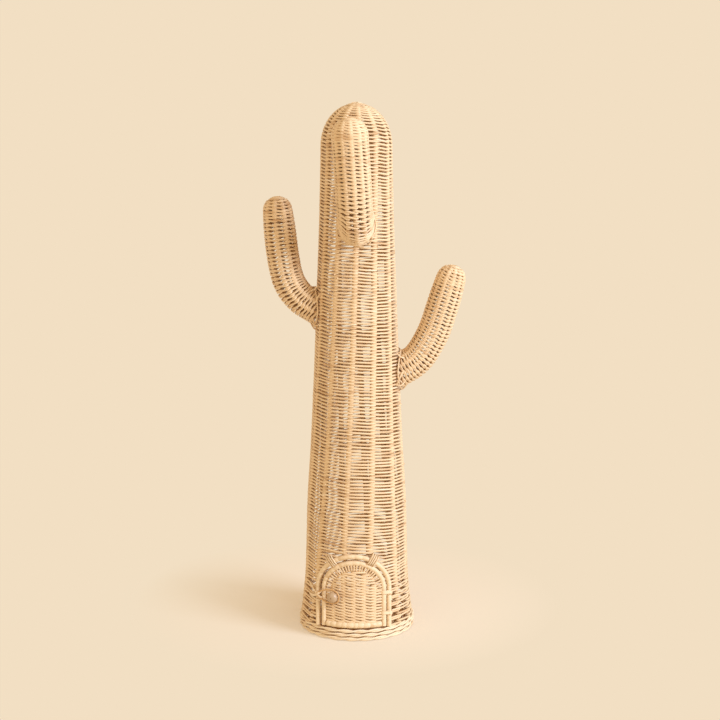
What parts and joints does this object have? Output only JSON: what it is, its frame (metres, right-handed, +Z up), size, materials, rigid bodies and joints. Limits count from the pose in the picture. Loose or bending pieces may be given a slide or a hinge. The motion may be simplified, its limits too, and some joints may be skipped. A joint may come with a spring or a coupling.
{
  "type": "woven rattan cactus with door",
  "caption": "Tall openwork rattan cactus with a domed trunk, upturned arms and a small arched, latched door at its foot.",
  "frame": {"origin": "on the trunk's axis, on the flat underside of the floor disc", "axes": "+Z up the trunk, -Y out of the door towards the front, +X to the right arm seen from the front"},
  "size_m": [0.2278, 0.1718, 0.6012],
  "materials": {
    "rattan_weave": "natural satin, fine long grain",
    "rattan_stake": "natural satin",
    "rattan_border": "natural satin",
    "cane_wrap": "smooth split cane, light sheen",
    "floor_weave": "natural matt",
    "bead_wood": "turned and waxed",
    "latch_cord": "thin split cane"
  },
  "bodies": {
    "root": {"trunk_weave_lower": "rattan_weave", "trunk_weave_middle": "rattan_weave", "trunk_weave_upper": "rattan_weave", "trunk_weave_dome": "rattan_weave", "trunk_stake_01": "rattan_stake", "trunk_stake_02": "rattan_stake", "trunk_stake_03": "rattan_stake", "trunk_stake_04": "rattan_stake", "trunk_stake_05": "rattan_stake", "trunk_stake_06": "rattan_stake", "trunk_stake_07": "rattan_stake", "trunk_stake_08": "rattan_stake", "trunk_stake_09": "rattan_stake", "trunk_stake_10": "rattan_stake", "trunk_stake_11": "rattan_stake", "trunk_stake_12": "rattan_stake", "crown_knot": "cane_wrap", "foot_border_1": "rattan_border", "foot_border_2": "rattan_border", "foot_border_3": "rattan_border", "floor_disc": "floor_weave", "floor_spokes": "rattan_stake", "left_arm_weave": "rattan_weave", "left_arm_ribs": "rattan_stake", "left_arm_lashing": "cane_wrap", "right_arm_weave": "rattan_weave", "right_arm_ribs": "rattan_stake", "right_arm_lashing": "cane_wrap", "front_arm_weave": "rattan_weave", "front_arm_ribs": "rattan_stake", "front_arm_lashing": "cane_wrap", "door_frame": "cane_wrap", "arch_wrap_left": "cane_wrap", "arch_wrap_right": "cane_wrap", "latch_lashing": "cane_wrap"},
    "door": {"door_rim": "cane_wrap", "door_bottom_bar": "cane_wrap", "door_weave": "rattan_weave", "door_stake_1": "rattan_stake", "door_stake_2": "rattan_stake", "door_stake_3": "rattan_stake", "door_stake_4": "rattan_stake", "door_stake_5": "rattan_stake", "hinge_lashing_lower": "cane_wrap", "hinge_lashing_upper": "cane_wrap", "bead": "bead_wood", "bead_tie": "latch_cord"},
    "loop": {"latch_loop": "latch_cord"}
  },
  "joints": [
    {"name": "door_hinge", "type": "hinge", "parent": "root", "child": "door", "pos_m": [0.0369, -0.05168, 0.03], "axis": [0, 0.1351, 0.9908], "range_deg": [0, 110]},
    {"name": "latch_swing", "type": "hinge", "parent": "root", "child": "loop", "pos_m": [-0.04554, -0.04808, 0.05], "axis": [0, 0, -1], "range_deg": [0, 120]}
  ]
}
